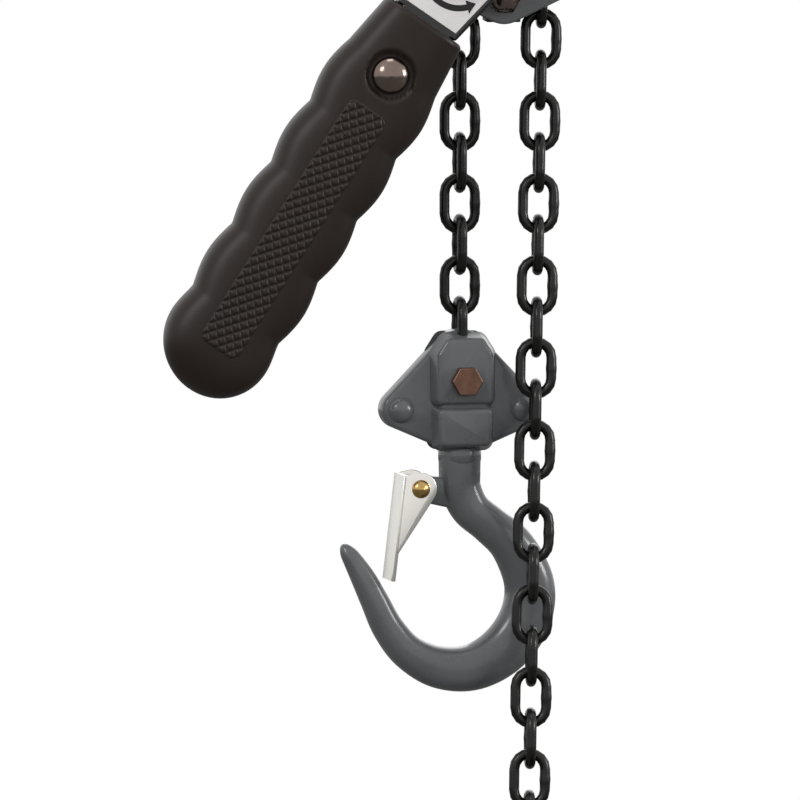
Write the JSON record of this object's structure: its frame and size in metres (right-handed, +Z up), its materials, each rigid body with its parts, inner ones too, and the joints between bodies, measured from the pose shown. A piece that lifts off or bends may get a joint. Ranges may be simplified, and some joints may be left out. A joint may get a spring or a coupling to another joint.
{
  "type": "lever chain hoist",
  "caption": "Mini lever chain hoist with rubber-gripped lever, hand gear train and brake, load chain to a latched swivel hook block, and tied slack chain.",
  "frame": {"origin": "seat of the top hook, on the line of pull", "axes": "+Z up along the line of pull, +X from the load chain to the slack chain, -Y towards the lever"},
  "size_m": [0.15, 0.0895, 0.538],
  "materials": {
    "black_chain": "black oxide, oiled",
    "grey_paint": "satin grey enamel",
    "block_rivet_paint": "painted over",
    "copper_bolt": "yellow-brown plating",
    "bright_latch": "bright zinc",
    "gold_rivet": "polished",
    "spring_steel": "blued",
    "bright_nut": "polished",
    "machined_steel": "machined",
    "bronze": "turned",
    "cast_guide": "as cast",
    "friction_lining": "bonded lining",
    "black_shell": "black enamel",
    "label_plate": "satin printed plate",
    "grip_rubber": "moulded, knurled",
    "knob_plastic": "moulded",
    "tie_nylon": "nylon strap"
  },
  "bodies": {
    "top_hook": {"top_hook": "grey_paint", "top_swivel_nut": "machined_steel", "top_latch_rivet": "gold_rivet"},
    "top_latch": {"top_latch": "bright_latch", "top_latch_spring": "spring_steel"},
    "top_block": {"top_block_front": "grey_paint", "top_block_back": "grey_paint", "top_block_rivets": "block_rivet_paint"},
    "head": {"yoke_pin": "bright_nut", "front_plate": "grey_paint", "back_plate": "grey_paint", "stay_bolts": "machined_steel", "cap_nuts": "bright_nut", "sheave_bushes": "bronze", "chain_guide": "cast_guide", "brake_cover": "grey_paint", "cover_screws": "bright_nut", "gear_case": "grey_paint", "case_screws": "bright_nut", "gear_pins": "machined_steel", "pawl_pins": "machined_steel", "pawl_springs": "spring_steel", "ratchet_disc": "machined_steel", "sheave_chain": "black_chain"},
    "pawl_left": {"ratchet_pawl_left": "machined_steel"},
    "pawl_right": {"ratchet_pawl_right": "machined_steel"},
    "lever": {"lever_front_shell": "black_shell", "lever_back_shell": "black_shell", "lever_rivets": "machined_steel", "lever_label": "label_plate", "lever_grip": "grip_rubber", "grip_screw": "bright_nut", "grip_nut": "bright_nut"},
    "selector": {"selector_knob": "knob_plastic", "change_pawl": "machined_steel"},
    "sheave": {"load_sheave": "machined_steel", "load_gear": "machined_steel"},
    "gear_left": {"intermediate_gear_left": "machined_steel"},
    "gear_right": {"intermediate_gear_right": "machined_steel"},
    "drive": {"pinion_shaft": "machined_steel", "brake_hub": "machined_steel", "friction_discs": "friction_lining", "change_gear": "machined_steel", "free_chain_knob": "knob_plastic", "knob_nut": "bright_nut"},
    "load_line": {"load_chain": "black_chain"},
    "load_block": {"end_link": "black_chain", "load_block_front": "grey_paint", "load_block_back": "grey_paint", "load_block_rivets": "block_rivet_paint", "load_block_bolt": "copper_bolt", "load_block_nut": "copper_bolt"},
    "load_hook": {"load_hook": "grey_paint", "load_swivel_nut": "machined_steel", "load_latch_rivet": "gold_rivet"},
    "load_latch": {"load_latch": "bright_latch", "load_latch_spring": "spring_steel"},
    "tail": {"tail_chain": "black_chain", "tail_end_ring": "black_chain", "hank_tie": "tie_nylon"}
  },
  "joints": [
    {"name": "head_tilt", "type": "hinge", "parent": "top_block", "child": "head", "pos_m": [0, 0, -0.0783], "axis": [0, 1, 0], "range_deg": [-25, 25]},
    {"name": "top_hook_swivel", "type": "hinge", "parent": "top_hook", "child": "top_block", "pos_m": [0, 0, -0.0783], "axis": [0, 0, 1], "continuous": true},
    {"name": "top_latch_open", "type": "hinge", "parent": "top_hook", "child": "top_latch", "pos_m": [0.013, 0, -0.0468], "axis": [0, -1, 0], "range_deg": [0, 38], "stiffness_Nm_per_rad": 0.02, "springref_deg": -28.65},
    {"name": "lever_swing", "type": "hinge", "parent": "head", "child": "lever", "pos_m": [0.01219, 0, -0.1163], "axis": [0, 1, 0], "continuous": true},
    {"name": "selector_turn", "type": "hinge", "parent": "lever", "child": "selector", "pos_m": [-0.00286, 0, -0.13811], "axis": [0, 1, 0], "range_deg": [-8, 8]},
    {"name": "hook_lift", "type": "slide", "parent": "head", "child": "load_line", "axis": [0, 0, 1], "range_m": [-0.024, 0.024], "deforming": ["sheave_chain", "tail_chain", "tail_end_ring", "hank_tie"]},
    {"name": "tail_run", "type": "slide", "parent": "head", "child": "tail", "axis": [-0.0194, -0.0663, -0.9976], "range_m": [-0.025, 0.025]},
    {"name": "sheave_turn", "type": "hinge", "parent": "head", "child": "sheave", "pos_m": [0.01219, 0, -0.1163], "axis": [0, 1, 0], "range_deg": [-121, 121]},
    {"name": "gear_left_turn", "type": "hinge", "parent": "head", "child": "gear_left", "pos_m": [-0.00181, 0, -0.1163], "axis": [0, 1, 0], "range_deg": [-361, 361]},
    {"name": "gear_right_turn", "type": "hinge", "parent": "head", "child": "gear_right", "pos_m": [0.02619, 0, -0.1163], "axis": [0, 1, 0], "range_deg": [-361, 361]},
    {"name": "drive_turn", "type": "hinge", "parent": "head", "child": "drive", "pos_m": [0.01219, 0, -0.1163], "axis": [0, 1, 0], "range_deg": [-1082, 1082]},
    {"name": "pawl_left_lift", "type": "hinge", "parent": "head", "child": "pawl_left", "pos_m": [-0.00475, 0, -0.10306], "axis": [0, 1, 0], "range_deg": [0, 10], "stiffness_Nm_per_rad": 0.002, "springref_deg": -17.19},
    {"name": "pawl_right_lift", "type": "hinge", "parent": "head", "child": "pawl_right", "pos_m": [0.02913, 0, -0.12954], "axis": [0, 1, 0], "range_deg": [0, 10], "stiffness_Nm_per_rad": 0.002, "springref_deg": -17.19},
    {"name": "block_swing", "type": "hinge", "parent": "load_line", "child": "load_block", "pos_m": [0, 0, -0.24945], "axis": [-0.1392, 0.9903, 0], "range_deg": [-30, 30]},
    {"name": "load_hook_swivel", "type": "hinge", "parent": "load_block", "child": "load_hook", "pos_m": [0, 0, -0.2574], "axis": [0, 0, 1], "continuous": true},
    {"name": "load_latch_open", "type": "hinge", "parent": "load_hook", "child": "load_latch", "pos_m": [-0.01287, -0.00181, -0.2889], "axis": [0.1392, -0.9903, 0], "range_deg": [0, 38], "stiffness_Nm_per_rad": 0.02, "springref_deg": -28.65}
  ],
  "couplings": [
    {"joint": "tail_run", "follows": "hook_lift", "ratio": 1},
    {"joint": "sheave_turn", "follows": "hook_lift", "rad_per_m": 87.266},
    {"joint": "gear_left_turn", "follows": "hook_lift", "rad_per_m": -261.8},
    {"joint": "gear_right_turn", "follows": "hook_lift", "rad_per_m": -261.8},
    {"joint": "drive_turn", "follows": "hook_lift", "rad_per_m": 785.4}
  ]
}
